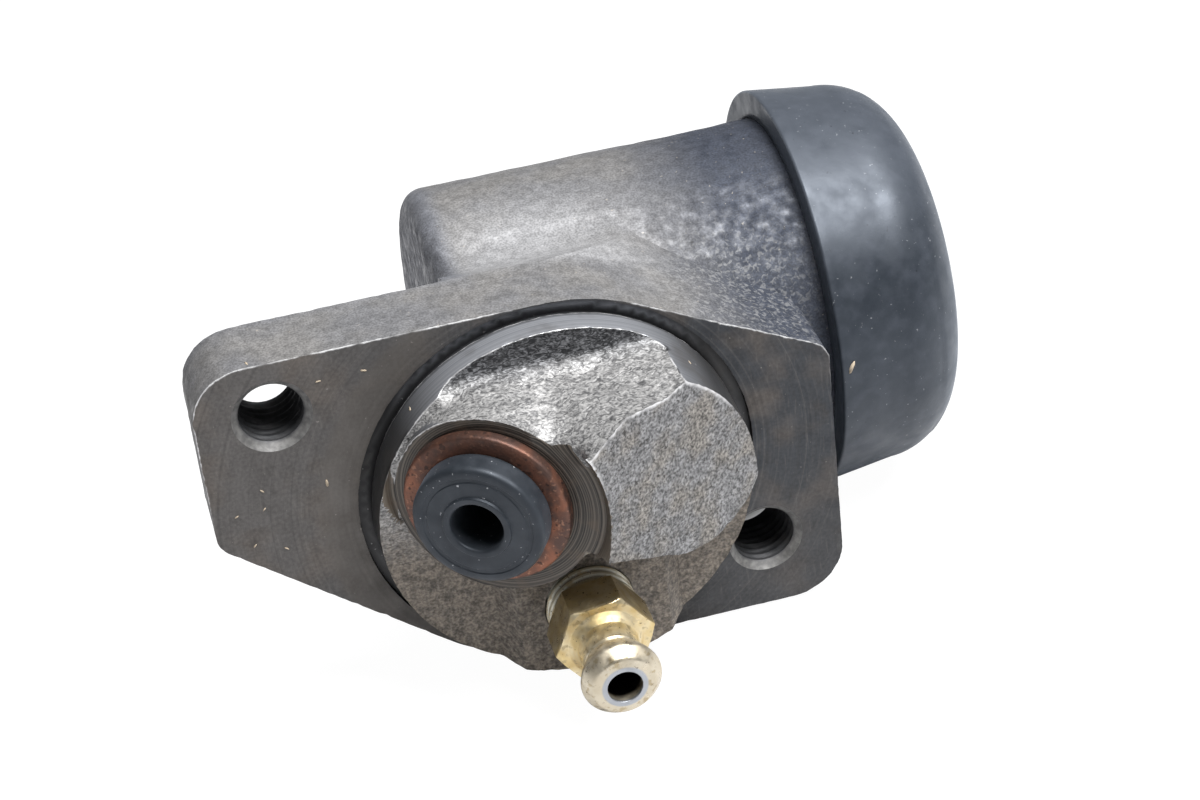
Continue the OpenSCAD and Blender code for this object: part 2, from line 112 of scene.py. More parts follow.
def even_mesh(node, size_at):
    """Points, triangles and sharp edges (start, end, convex) of a CAD node, in mm.
    size_at gives the wanted edge length from the centre and the normal of a facet."""
    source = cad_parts[node].data
    exact = [n.vector.copy() for n in source.corner_normals]
    tree = KDTree(len(exact))
    for i, loop in enumerate(source.loops):
        tree.insert(source.vertices[loop.vertex_index].co * 1000, i)
    tree.balance()

    bm = bmesh.new()
    bm.from_mesh(source)
    bmesh.ops.scale(bm, vec=(1000, 1000, 1000), verts=bm.verts)
    bmesh.ops.remove_doubles(bm, verts=bm.verts, dist=0.001)
    bmesh.ops.dissolve_limit(bm, angle_limit=math.radians(0.2), verts=bm.verts, edges=bm.edges)
    bm.normal_update()
    bm.verts.index_update()
    bm.edges.index_update()
    bm.faces.index_update()

    size = [size_at(f.calc_center_median(), f.normal) for f in bm.faces]
    normal = {}
    for f in bm.faces:
        for v in f.verts:
            near = [exact[i] for _, i, _ in tree.find_range(v.co, 0.002)] or [f.normal]
            best = max(near, key=f.normal.dot)
            normal[f.index, v.index] = best if best.dot(f.normal) > 0.85 else f.normal

    points = [v.co.copy() for v in bm.verts]
    rows, sharp = {}, []
    for e in bm.edges:
        a, b = e.verts
        cuts = max(1, math.ceil(e.calc_length() / min(size[f.index] for f in e.link_faces)))
        turn = e.calc_face_angle_signed(0)
        row = [a.index]
        for k in range(1, cuts):
            t = k / cuts
            p = a.co.lerp(b.co, t)
            moves = [bulge(p, a.co, b.co, normal[f.index, a.index], normal[f.index, b.index], t)
                     for f in e.link_faces]
            move = moves[0] + moves[1]
            points.append(p + (move if abs(turn) > SHARP_TURN else move / 2))
            row.append(len(points) - 1)
        row.append(b.index)
        rows[e.index] = row
        if abs(turn) > SHARP_TURN:
            sharp += [(i, j, turn > 0) for i, j in zip(row, row[1:])]

    triangles = []
    for f in bm.faces:
        ring = []
        for loop in f.loops:
            row = rows[loop.edge.index]
            ring += row[:-1] if row[0] == loop.vert.index else row[:0:-1]
        if len(ring) == 3:
            points.append(sum((points[i] for i in ring), Vector()) / 3)
            triangles += [[ring[k], ring[(k + 1) % 3], len(points) - 1] for k in range(3)]
            continue
        u = (f.verts[1].co - f.verts[0].co).normalized()
        basis = np.array([u, f.normal.cross(u)])
        base = np.array(f.verts[0].co)
        outline = (np.array([points[i] for i in ring]) - base) @ basis.T
        inner = lattice(outline, size[f.index])
        flat = [Vector(p) for p in outline] + [Vector(p) for p in inner]
        _, _, found, came_from, _, _ = delaunay_2d_cdt(flat, [], [list(range(len(ring)))], 1, 1e-6)
        place = inner @ basis + base
        normals = np.array([normal[f.index, v.index] for v in f.verts])
        curved = (normals @ np.array(f.normal)).min() < 0.99999
        if len(inner) and curved:
            corners = np.array([v.co for v in f.verts])
            weight = spread(inner, (corners - base) @ basis.T)
            lift = ((place[:, None] - corners) * normals).sum(2)[..., None] * normals
            place = place - 0.5 * (weight[..., None] * lift).sum(1)
        index = ring + list(range(len(points), len(points) + len(inner)))
        points += [Vector(p) for p in place]
        for tri in found:
            tri = [index[came_from[k][0]] for k in tri]
            if curved or not set(tri) <= set(ring):
                triangles.append(tri)
                continue
            points.append(sum((points[i] for i in tri), Vector()) / 3)
            triangles += [[tri[k], tri[(k + 1) % 3], len(points) - 1] for k in range(3)]
    bm.free()
    return np.array(points), np.array(triangles), sharp


# %% [markdown]
# ## Zones of the casting
# One casting carries several finishes: sand-cast skin, a milled mounting face, turned walls, rough
# facets, a turned spot face and bored holes. Where a triangle lies tells which finish it has, because
# each finish belongs to one simple surface of the drawing. The triangles are small where a viewer looks
# closely and in the tapped holes, and large inside the bore.

# %% Find the zone of each triangle
SKIN, MILLED, TURNED, FACET, SADDLE, SPOT, BORED = range(7)
SPIGOT_R, GROOVE_R, GROOVE_DEPTH, FLANGE_BACK = 20.4, 21.7, 0.8, 8.8
BARREL_Y, BARREL_R, BARREL_END, BEAD_X = 28.0, 20.0, 39.5, 35.0
BORE_R, BORE_FLOOR = 15.875, -2.0
BOLT_HOLES = ((-28.8, 15.5), (22.2, -14.1))
BOLT_R, SINK_R, SINK_DEPTH = 3.45, 4.4, 0.8
FACET_H, PORT_R = 16.0, 4.3
SPOT_H, SPOT_R, SPOT_SHIFT, SPOT_FLARE = 13.1, 11.7, 0.7, 0.8
BLEED_X, BLEED_Z, BLEED_R, PAD_Y = 0.4, -12.0, 4.9, -7.0
LEAN = math.radians(30)
PORT_SHIFT, PORT_Z = -2.84, 6.0
PORT = Matrix(((math.cos(LEAN), 0, -math.sin(LEAN), PORT_SHIFT * math.cos(LEAN)),
               (-math.sin(LEAN), 0, -math.cos(LEAN), -PORT_SHIFT * math.sin(LEAN)),
               (0, 1, 0, PORT_Z), (0, 0, 0, 1)))
INTO_PORT = np.array(PORT.inverted())
RIGHT_LEAN = np.array((math.sin(LEAN), -math.cos(LEAN), 0))
LEFT_LEAN = np.array((-math.sin(LEAN), -math.cos(LEAN), 0))


def in_port(p):
    """Points in the frame of the hose port, whose third direction is its axis."""
    return p @ INTO_PORT[:3, :3].T + INTO_PORT[:3, 3]


def zones(c, n):
    """Zone number of triangles with centres c and normals n (arrays, mm)."""
    x, y, z = c.T
    rho = np.hypot(x, z)
    out = (n[:, 0] * x + n[:, 2] * z) / np.maximum(rho, 1e-6)
    zone = np.full(len(c), SKIN)
    zone[y < -0.01] = SADDLE
    zone[(np.abs(y) < 0.02) & (n[:, 1] < -0.9) & (rho > SPIGOT_R - 0.1)] = MILLED
    zone[(rho > SPIGOT_R - 0.5) & (rho < SPIGOT_R + 0.2) & (y < 0.01) & (out > 0.95)] = TURNED
    zone[(rho > SPIGOT_R - 0.4) & (rho < GROOVE_R + 0.1) & (y > 0.001) & (y < GROOVE_DEPTH + 0.05)] = TURNED
    for lean in (RIGHT_LEAN, LEFT_LEAN):
        zone[(c @ lean > FACET_H - 0.05) & (n @ lean > 0.98)] = FACET

    port_x, port_z, port_h = in_port(c).T
    spot_r = np.hypot(port_x - SPOT_SHIFT, port_z)
    flare = spot_r - SPOT_R - SPOT_FLARE * (port_h - SPOT_H)
    zone[(np.abs(port_h - SPOT_H) < 0.05) & (spot_r < SPOT_R + 0.1) & (n @ LEFT_LEAN > 0.98)] = SPOT
    zone[(np.abs(flare) < 0.12) & (port_h > SPOT_H - 0.08)] = SPOT

    hole = (np.hypot(port_x, port_z) < PORT_R + 0.1) & (port_h < SPOT_H - 0.05) & (y < BARREL_Y - 8)
    zone[hole & (n @ LEFT_LEAN > -0.3)] = BORED
    bleed_r = np.hypot(x - BLEED_X, z - BLEED_Z)
    hole = (bleed_r < BLEED_R + 0.1) & (y > PAD_Y + 0.05) & (y < FLANGE_BACK + 0.2)
    zone[hole & (n[:, 1] < 0.3)] = BORED
    for hx, hz in BOLT_HOLES:
        zone[(np.hypot(x - hx, z - hz) < SINK_R) & (y > 0.005) & (y < FLANGE_BACK - 0.01)] = BORED
    bore_r = np.hypot(y - BARREL_Y, z)
    zone[(bore_r < BORE_R + 0.075) & (x > BORE_FLOOR - 0.1)] = BORED
    zone[(x > BARREL_END - 0.1) | ((bore_r < BARREL_R - 0.1) & (x > BEAD_X))] = BORED
    return zone


EDGE_LENGTH = {SKIN: 0.75, MILLED: 0.6, TURNED: 0.55, FACET: 0.45, SADDLE: 0.42, SPOT: 0.3, BORED: 2.0}
THREAD_EDGE = 0.24


def casting_size(centre, normal):
    for hx, hz in BOLT_HOLES:
        if math.hypot(centre.x - hx, centre.z - hz) < SINK_R and 0 < centre.y < FLANGE_BACK:
            return THREAD_EDGE
    return EDGE_LENGTH[zones(np.array([centre]), np.array([normal]))[0]]


points, triangles, sharp = even_mesh("cylinder_body", casting_size)
print("casting:", len(points), "points,", len(triangles), "triangles")

# %% [markdown]
# ## Round the corners of the casting
# Sand can't hold a sharp corner, so the corners in the saddle between the bosses and at the closed end of
# the barrel are relaxed: again and again each point moves half-way to the middle of its neighbours.
# Machined faces keep their points and stay true, apart from a few millimetres at the rim of the spot
# face, where the drawing has a small step between the bosses and the real casting has none.


# %% Relax the soft corners
def triangle_normals(p, t):
    n = np.cross(p[t[:, 1]] - p[t[:, 0]], p[t[:, 2]] - p[t[:, 0]])
    size = np.linalg.norm(n, axis=1, keepdims=True)
    return n / np.maximum(size, 1e-12), size[:, 0] / 2


def gather(per_face, t, count):
    """Sums a value per triangle at the points of each triangle."""
    total = np.zeros((count,) + per_face.shape[1:])
    for k in range(3):
        np.add.at(total, t[:, k], per_face)
    return total


def relax(p, t, free, rounds):
    """Moves the free points towards the middle of their neighbours."""
    pairs = np.unique(np.sort(np.concatenate([t[:, [0, 1]], t[:, [1, 2]], t[:, [2, 0]]]), axis=1), axis=0)
    count = np.maximum(np.bincount(pairs.ravel(), minlength=len(p)), 1)[:, None]
    for _ in range(rounds):
        total = np.zeros_like(p)
        np.add.at(total, pairs[:, 0], p[pairs[:, 1]])
        np.add.at(total, pairs[:, 1], p[pairs[:, 0]])
        p = np.where(free[:, None], 0.5 * p + 0.5 * total / count, p)
    return p


SPOT_STEP, STEP_REACH = (-1.6, -14.2, 13.6), 3.6
CLOSED_CORNER, CORNER_REACH = (-7.0, 19.0, 18.0), 4.5
RELAX_ABOVE, RELAX_ROUNDS = -4, 60

middle = points[triangles].mean(1)
zone = zones(middle, triangle_normals(points, triangles)[0])
by_step = np.linalg.norm(middle - SPOT_STEP, axis=1) < STEP_REACH
by_end = np.linalg.norm(middle - CLOSED_CORNER, axis=1) < CORNER_REACH
zone[by_step & (zone == SPOT) & (middle @ LEFT_LEAN > SPOT_H + 0.05)] = SADDLE
soft = (zone == SADDLE) | ((zone == SPOT) & by_step) | ((zone == SKIN) & by_end)
others = gather((~soft).astype(float)[:, None], triangles, len(points))[:, 0]
free = (others == 0) & (points[:, 2] > RELAX_ABOVE)
points = relax(points, triangles, free, RELAX_ROUNDS)
sharp = [(a, b, convex) for a, b, convex in sharp if not (free[a] and free[b])]
print("relaxed points:", free.sum())

# %% [markdown]
# ## Roughen the casting
# Sand leaves long soft waves and short grain, so two sizes of noise are added, and all of it goes
# inwards: the part then stays inside the drawing's outline. Where a cast wall meets a machined face, the
# shared points slide in that face, so the edge turns ragged and the face stays flat. The threads of the
# tapped holes and the rings of the spot face are cut here too, as they are only a change of radius or
# depth.


# %% Move the points of the casting
def clamp(v):
    return min(1.0, max(0.0, v))


def wave(p, size, seed=0.0):
    """Smooth noise from 0 to 1 at a point (mm), with bumps of about that size."""
    return clamp(0.5 + 0.6 * noise.noise(Vector(p) / size + Vector((seed, seed * 1.7, -seed))))


def unit(v):
    return v / np.maximum(np.linalg.norm(v, axis=-1, keepdims=True), 1e-9)


flat_n, flat_area = triangle_normals(points, triangles)
cast = np.isin(zone, (SKIN, FACET, SADDLE))
all_n = unit(gather(flat_n * flat_area[:, None], triangles, len(points)))
cast_n = gather(flat_n * (flat_area * cast)[:, None], triangles, len(points))
true_n = unit(gather(flat_n * (flat_area * ~cast)[:, None], triangles, len(points)))
cast_n -= true_n * (cast_n * true_n).sum(1, keepdims=True)
cast_n = unit(cast_n)
share = gather(np.column_stack([zone == k for k in range(7)]).astype(float), triangles, len(points))
share /= share.sum(1, keepdims=True)

COARSE_X, SMOOTH_X = 16, 32.5
edge_points = {i for a, b, convex in sharp if convex for i in (a, b)}
move = np.zeros_like(points)
for i, p in enumerate(points):
    x, y, z = p
    if share[i, SKIN] + share[i, FACET] + share[i, SADDLE] > 0:
        # The skin is smooth where the boot grips it, and coarsest beside the boot and on the neck below.
        barrel = np.hypot(y - BARREL_Y, z) > BARREL_R - 2 and y > 9
        calm = clamp((SMOOTH_X - x) / 4) if barrel else 1.0
        coarse = 1 + 0.7 * clamp((x - COARSE_X) / 8) if barrel else 0.75 + (x > 9 and z > 8)
        depth = share[i, SKIN] * calm * coarse * (0.10 * wave(p, 6) + 0.09 * wave(p, 1.9, 3))
        depth += share[i, SADDLE] * (0.14 * wave(p, 2.4, 5) + 0.2 * wave(p, 0.9, 7))
        depth += share[i, FACET] * (0.05 * wave(p, 3, 9) + 0.07 * wave(p, 0.8, 11))
        move[i] -= depth * cast_n[i]
    if i in edge_points and share[i, BORED] == 0:
        move[i] -= (0.02 + 0.16 * wave(p, 1.1, 13) ** 3) * all_n[i]

# %% Cut the threads and the rings
PITCH, THREAD_DEPTH = 1.058, 0.5
WASHER_R, RING_WIDTH, RING_DEPTH = 9.0, 0.62, 0.03


def tooth(turns):
    """The V of a thread: from 0 to 1 and back once per turn."""
    return 1 - np.abs(2 * (turns % 1) - 1)


y = points[:, 1]
for hx, hz in BOLT_HOLES:
    off = points[:, [0, 2]] - (hx, hz)
    r = np.hypot(*off.T)
    wall = (np.abs(r - BOLT_R) < 0.03) & (y > SINK_DEPTH + 0.05) & (y < FLANGE_BACK - 0.05)
    turn = np.arctan2(off[:, 1], off[:, 0]) / (2 * math.pi)
    fade = np.clip((y - SINK_DEPTH) / 0.6, 0, 1) * np.clip((FLANGE_BACK - y) / 0.4, 0, 1)
    depth = np.where(wall, THREAD_DEPTH * tooth((y - SINK_DEPTH) / PITCH + turn) * fade, 0)
    move[:, [0, 2]] += depth[:, None] * off / r[:, None]

port_x, port_z, port_h = in_port(points).T
port_r = np.hypot(port_x, port_z)
flat_ring = (share[:, SPOT] > 0.99) & (np.abs(port_h - SPOT_H) < 0.01) & (port_r > WASHER_R + 0.2)
spot_r = np.hypot(port_x - SPOT_SHIFT, port_z)
depth = np.where(flat_ring, RING_DEPTH * (1 + np.cos(spot_r * 2 * math.pi / RING_WIDTH)), 0)
move -= depth[:, None] * LEFT_LEAN

points = points + move
print("deepest change: %.2f mm" % np.linalg.norm(move, axis=1).max())

# %% [markdown]
# ## Turn the points into pieces
# Every piece of this scene is made from arrays of points and faces in millimetres, so one small function
# puts them in the scene, ties them to the body that carries them and hides the CAD node they stand for.
# Edges that are sharp in the drawing are marked sharp, and all the rest is shaded smooth.


# %% Make the casting
def piece(name, points, faces, slot, *materials, body=None, node=None):
    mesh = bpy.data.meshes.new(name)
    places = [tuple(p) for p in np.asarray(points) / 1000]
    mesh.from_pydata(places, [], [tuple(int(i) for i in f) for f in faces])
    mesh.shade_smooth()
    for m in materials:
        mesh.materials.append(m)
    obj = bpy.data.objects.new(name, mesh)
    bpy.context.scene.collection.objects.link(obj)
    if body:
        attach(obj, body)
    if node:
        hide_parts(node)
    print(name + ":", len(mesh.polygons), "faces")
    return obj


def mark_sharp(mesh, pairs):
    wanted = {(min(a, b), max(a, b)) for a, b in pairs}
    flags = [(min(e.vertices), max(e.vertices)) in wanted for e in mesh.edges]
    attribute = mesh.attributes.get("sharp_edge") or mesh.attributes.new("sharp_edge", "BOOLEAN", "EDGE")
    attribute.data.foreach_set("value", flags)


def distance_to(edges, p, furthest=3.0):
    """Distance in mm of every point to the nearest of these edges."""
    tree = KDTree(4 * len(edges))
    for a, b in edges:
        for t in (0, 0.25, 0.5, 0.75):
            tree.insert(Vector(p[a]).lerp(Vector(p[b]), t), a)
    tree.balance()
    return [min(furthest, tree.find(Vector(q))[2]) for q in p]


casting = piece("casting", points, triangles, "cast_body", body="housing", node="cylinder_body")
mark_sharp(casting.data, [(a, b) for a, b, _ in sharp])

# The rims of the groove and of the bolt holes are cut clean, so they get neither wear nor the painted edge
# highlight.
x, y, z = points.T
plain_rim = (np.abs(y) < 0.2) & (np.hypot(x, z) < GROOVE_R + 0.3) & (share[:, MILLED] > 0)
for hx, hz in BOLT_HOLES:
    plain_rim |= np.hypot(x - hx, z - hz) < SINK_R + 0.2
for name, convex in (("edge_mm", True), ("crease_mm", False)):
    edges = [(a, b) for a, b, c in sharp if c == convex and not (plain_rim[a] and plain_rim[b])]
    attribute = casting.data.attributes.new(name, "FLOAT", "POINT")
    attribute.data.foreach_set("value", distance_to(edges, points))
casting.data.polygons.foreach_set("material_index", zone.astype(np.int32))
print("zones of the casting:", len(set(zone)))

# %% [markdown]
# ## A short way to write finishes
# Finishes are node trees, and a node tree written out socket by socket is hard to read. This small class
# keeps the tree and offers the few moves that all finishes here share: noise of a size in millimetres, a
# soft step between two values, patches or a fade of a second colour and a bump of a height in
# millimetres.


# %% Helper for node materials
def feed(tree, socket, value):
    """Links an input to another node's output, or sets its value."""
    if isinstance(value, bpy.types.NodeSocket):
        tree.links.new(value, socket)
    elif value is not None:
        socket.default_value = value


def add_node(tree, kind, *values, **settings):
    """Adds a node with its settings, and feeds its inputs in their order. None leaves an input as it is."""
    node = tree.nodes.new(kind)
    for key, value in settings.items():
        setattr(node, key, value)
    for socket, value in zip(node.inputs, values):
        feed(tree, socket, value)
    return node


class Finish:
    def __init__(self, name, metallic, roughness):
        self.material = bpy.data.materials.new(name)
        self.material.use_nodes = True
        self.tree = self.material.node_tree
        self.surface = self.tree.nodes["Principled BSDF"]
        self.surface.inputs["Metallic"].default_value = metallic
        self.surface.inputs["Roughness"].default_value = roughness
        place = self.add("ShaderNodeTexCoord").outputs["Object"]
        scaled = self.add("ShaderNodeVectorMath", place, (1000, 1000, 1000), operation="MULTIPLY")
        self.mm = scaled.outputs[0]
        self.normal = None

    def add(self, kind, *values, **settings):
        return add_node(self.tree, kind, *values, **settings)

    def math(self, kind, a, b=0.0):
        return self.add("ShaderNodeMath", a, b, operation=kind).outputs[0]

    def times(self, a, b):
        return self.math("MULTIPLY", a, b)

    def noise(self, size, detail=3.0, stretch=(1, 1, 1), at=None, warp=0.0):
        scale = tuple(1 / (size * s) for s in stretch)
        at = self.add("ShaderNodeVectorMath", at or self.mm, scale, operation="MULTIPLY").outputs[0]
        node = self.add("ShaderNodeTexNoise")
        feed(self.tree, node.inputs["Vector"], at)
        node.inputs["Scale"].default_value = 1.0
        node.inputs["Detail"].default_value = detail
        node.inputs["Distortion"].default_value = warp
        return node.outputs[0]

    def step(self, value, low, high, top=1.0):
        """0 at low, top at high, and a soft step between them."""
        node = self.add("ShaderNodeMapRange", value, low, high, 0.0, top, interpolation_type="SMOOTHSTEP")
        return node.outputs[0]

    def mix(self, share, a, b, blend="MIX"):
        node = self.add("ShaderNodeMix", share, data_type="RGBA", blend_type=blend)
        for socket, value in ((node.inputs[6], a), (node.inputs[7], b)):
            feed(self.tree, socket, (*value, 1.0) if isinstance(value, tuple) else value)
        return node.outputs[2]

    def patches(self, tone, colour, size, detail, low, high, share=1.0):
        """Lays patches of a colour over a tone, where noise of that size passes from low to high."""
        return self.mix(self.step(self.noise(size, detail), low, high, share), tone, colour)

    def fade(self, tone, colour, axis, start, end, share=1.0):
        """Lets a tone run into a colour along an axis (mm)."""
        return self.mix(self.step(self.axis(axis), start, end, share), tone, colour)

    def attribute(self, name):
        return self.add("ShaderNodeAttribute", attribute_name=name).outputs["Fac"]

    def axis(self, name, at=None):
        return self.add("ShaderNodeSeparateXYZ", at or self.mm).outputs[name]

    def radius(self, keep, at=None):
        """Distance from an axis; keep has 1 for the two directions across it and 0 along it."""
        across = self.add("ShaderNodeVectorMath", at or self.mm, keep, operation="MULTIPLY").outputs[0]
        return self.add("ShaderNodeVectorMath", across, operation="LENGTH").outputs["Value"]

    def from_point(self, point):
        return self.add("ShaderNodeVectorMath", self.mm, point, operation="DISTANCE").outputs["Value"]

    def line(self, value, size, detail=2.0):
        """Noise that changes along one value only, for turned rings."""
        at = self.add("ShaderNodeCombineXYZ", value, 0.0, 0.0).outputs[0]
        return self.noise(size, detail, at=at)

    def bump(self, height, mm):
        node = self.tree.nodes.new("ShaderNodeBump")
        node.inputs["Strength"].default_value = 1.0
        node.inputs["Distance"].default_value = mm / 1000
        feed(self.tree, node.inputs["Height"], height)
        feed(self.tree, node.inputs["Normal"], self.normal)
        self.normal = node.outputs[0]

    def done(self, colour, roughness=None):
        for key, value in (("Base Color", colour), ("Roughness", roughness), ("Normal", self.normal)):
            feed(self.tree, self.surface.inputs[key], value)
        return self.material


# %% [markdown]
# ## Finishes of the casting
# Cast iron is grey with dark pores and bright grains, and it shines most where an edge was rubbed or has
# a burr. That bright line along the edges is partly wear and partly a painted highlight, strongest on the
# upper side of the part, where the overhead light falls. Both come from the shape: the distance to the
# nearest sharp edge was stored on the points above, so a worn edge needs no painting by hand. Turned faces
# carry rings, which depend only on the distance from their own axis.


# %% Cast skin
def shade(f, colour, size, low, high, detail=3.0):
    """Darkens and lightens a colour with grains of about that size."""
    share = f.step(f.noise(size, detail), 0.28, 0.72)
    return f.mix(1.0, colour, f.mix(share, (low,) * 3, (high,) * 3), "MULTIPLY")


def worn_edge_and_highlight(f, colour, width, shine=0.9, low=2.0, high=12.0):
    """A thin broken line of bright colour along sharp edges: partly metal rubbed bare, partly a painted
    highlight, so most of it lies on the upper side of the part, where the overhead light falls.
    """
    ragged = f.math("ADD", f.attribute("edge_mm"), f.times(f.noise(0.6, 3), width * 1.8))
    mask = f.step(ragged, width * 1.9, width * 0.8, shine)
    mask = f.times(mask, f.step(f.noise(2.6, 2), 0.30, 0.54))
    # Painted highlight: the edge line is full only above the height high (mm), where the light falls on the
    # upper edges.
    mask = f.times(mask, f.step(f.axis("Z"), low, high))
    mask = f.times(mask, f.step(f.axis("Y"), 2.0, 1.0))
    return f.mix(mask, colour, (0.80, 0.80, 0.81))


skin = Finish("cast_skin", 0.2, 0.66)
tone = skin.patches((0.165, 0.165, 0.172), (0.19, 0.185, 0.182), 7, 3, 0.35, 0.65)
bright = skin.step(skin.from_point((3, 13, 22)), 18, 5, 0.9)
behind = skin.math("MAXIMUM", skin.step(skin.axis("Y"), 7.0, 11.0), skin.step(skin.axis("X"), 9, 20))
tone = skin.mix(skin.times(bright, behind), tone, (0.33, 0.33, 0.338))
by_boot = skin.times(skin.step(skin.axis("X"), 13, 27), behind)
tone = skin.mix(by_boot, tone, (0.046, 0.053, 0.072))
closed = skin.times(skin.step(skin.axis("X"), -4.2, -6.6, 0.85), behind)
tone = skin.mix(closed, tone, (0.165, 0.172, 0.195))
tone = skin.fade(tone, (0.08, 0.08, 0.085), "Z", 0, -16, 0.7)
tone = shade(skin, tone, 1.3, 0.85, 1.15)
tone = shade(skin, tone, 0.22, 0.72, 1.28)
tone = skin.patches(tone, (0.06, 0.058, 0.056), 0.6, 2, 0.68, 0.76, 0.5)
tone = skin.patches(tone, (0.42, 0.38, 0.33), 0.5, 2, 0.30, 0.24, 0.5)
lower = skin.times(skin.step(skin.axis("X"), 9, 15), skin.step(skin.from_point((23, 6, 14)), 15, 6, 0.5))
grains = skin.step(skin.noise(0.55, 4, warp=0.8), 0.47, 0.66)
tone = skin.mix(skin.times(lower, grains), tone, (0.34, 0.34, 0.34))
tone = worn_edge_and_highlight(skin, tone, 0.2)
skin.bump(skin.noise(0.45, 3), 0.03)
skin.bump(skin.noise(1.6, 2), 0.05)
cast_skin = skin.done(tone, skin.step(skin.noise(1.2, 2), -0.3, 1.3, 1.32))

# %% Milled mounting face
milled = Finish("milled_face", 0.25, 0.5)
from_centre = milled.radius((1, 0, 1))
tone = milled.mix(milled.step(milled.axis("X"), -34, 20), (0.10, 0.094, 0.091), (0.038, 0.042, 0.049))
tone = milled.patches(tone, (0.125, 0.104, 0.088), 7, 3, 0.45, 0.7, 0.6)
tone = milled.fade(tone, (0.06, 0.059, 0.06), "Z", -2, -16, 0.6)
rings = milled.line(from_centre, 0.4, 3)
tone = milled.mix(milled.step(rings, 0.5, 0.75, 0.35), tone, (0.16, 0.15, 0.14))
tone = milled.mix(milled.step(rings, 0.5, 0.25, 0.5), tone, (0.04, 0.038, 0.037))
tone = milled.patches(tone, (0.04, 0.038, 0.037), 3.5, 4, 0.6, 0.75, 0.6)
streak = milled.noise(0.35, 3, stretch=(1, 1, 9))
tone = milled.mix(milled.step(streak, 0.55, 0.75, 0.18), tone, (0.20, 0.185, 0.17))
tone = shade(milled, tone, 0.4, 0.84, 1.16)
band = milled.times(milled.step(from_centre, 26.6, 25.2, 0.55), milled.step(milled.axis("X"), -8, -16))
tone = milled.mix(band, tone, (0.115, 0.103, 0.092))
tone = milled.patches(tone, (0.30, 0.28, 0.26), 0.5, 2, 0.70, 0.78, 0.6)
tone = worn_edge_and_highlight(milled, tone, 0.16)
milled.bump(rings, 0.02)
milled.bump(milled.noise(0.5, 2), 0.015)
milled_face = milled.done(tone, milled.step(milled.noise(2.5, 3), -0.4, 1.2, 0.95))

# %% Turned walls
turned = Finish("turned_wall", 0.45, 0.38)
lines = turned.line(turned.axis("Y"), 0.3, 3)
# Painted light and shade: the turned lines are light at the top of the wall, where the overhead light
# falls, and the colour fades to dark lower down, where the wall turns away from it.
tone = turned.mix(turned.step(lines, 0.3, 0.7), (0.24, 0.25, 0.27), (0.38, 0.39, 0.42))
tone = turned.fade(tone, (0.055, 0.055, 0.057), "Z", 19, 11)
tone = turned.patches(tone, (0.085, 0.075, 0.066), 4, 3, 0.5, 0.75, 0.4)
# Painted shade: dark along the concave creases, in the corners of the groove.
tone = turned.mix(turned.step(turned.attribute("crease_mm"), 0.9, 0.1, 0.8), tone, (0.015, 0.015, 0.016))
tone = turned.patches(tone, (0.4, 0.4, 0.4), 0.45, 2, 0.70, 0.78, 0.5)
tone = worn_edge_and_highlight(turned, tone, 0.16, 0.95, 6.0, 14.0)
turned.bump(lines, 0.01)
turned_wall = turned.done(tone)

# %% Facets as cast
facet = Finish("cast_facet", 0.2, 0.62)
tone = facet.patches((0.19, 0.19, 0.194), (0.205, 0.192, 0.176), 4, 3, 0.4, 0.65)
tone = shade(facet, tone, 0.9, 0.75, 1.2)
tone = shade(facet, tone, 0.30, 0.35, 1.7, 4)
tone = facet.patches(tone, (0.035, 0.032, 0.03), 0.5, 2, 0.62, 0.70, 0.85)
tone = worn_edge_and_highlight(facet, tone, 0.4, 0.9, 8.0, 13.0)
facet.bump(facet.noise(0.6, 3), 0.05)
cast_facet = facet.done(tone)

# %% Rough saddle between the bosses
saddle = Finish("cast_saddle", 0.4, 0.52)
flow = saddle.noise(0.5, 4, stretch=(1.5, 1, 0.7), warp=1.6)
tone = saddle.mix(saddle.step(flow, 0.3, 0.7), (0.10, 0.10, 0.103), (0.44, 0.435, 0.43))
# Painted shade: the strip just below the rim, at the top of the saddle, is dark with a few lighter grains,
# as it faces away from the overhead light.
by_flange = saddle.step(saddle.axis("Y"), -6.0, -4.6)
shelf_shade = saddle.times(saddle.step(saddle.axis("Z"), 15.8, 17.6, 0.9), by_flange)
dark = saddle.mix(saddle.step(flow, 0.42, 0.7), (0.014, 0.015, 0.018), (0.20, 0.205, 0.22))
tone = saddle.mix(shelf_shade, tone, dark)
under = saddle.step(saddle.axis("Z"), 6, -5, 0.9)
tone = saddle.mix(under, tone, shade(saddle, (0.17, 0.145, 0.118), 0.6, 0.55, 1.45))
tone = shade(saddle, tone, 0.3, 0.75, 1.25)
tone = worn_edge_and_highlight(saddle, tone, 0.14, 0.9, 4.0, 12.0)
saddle.bump(flow, 0.07)
saddle.bump(saddle.noise(0.4, 2), 0.03)
cast_saddle = saddle.done(tone)

# %% Turned spot face
spot = Finish("spot_face", 0.35, 0.45)
local = spot.add("ShaderNodeMapping", spot.mm, vector_type="TEXTURE")
local.inputs["Location"].default_value = PORT @ Vector((SPOT_SHIFT, 0, 0))
local.inputs["Rotation"].default_value = PORT.to_euler()
from_port = spot.radius((1, 1, 0), local.outputs[0])
rings = spot.line(from_port, 0.24, 2)
tone = spot.mix(spot.step(rings, 0.38, 0.66), (0.016, 0.015, 0.014), (0.15, 0.13, 0.11))
tone = spot.mix(spot.step(from_port, 11.0, 12.4, 0.6), tone, (0.20, 0.168, 0.13))
tone = spot.patches(tone, (0.12, 0.09, 0.065), 2.5, 3, 0.5, 0.7, 0.5)
tone = worn_edge_and_highlight(spot, tone, 0.14, 0.9, 6.0, 12.0)
spot.bump(rings, 0.02)
spot_face = spot.done(tone)

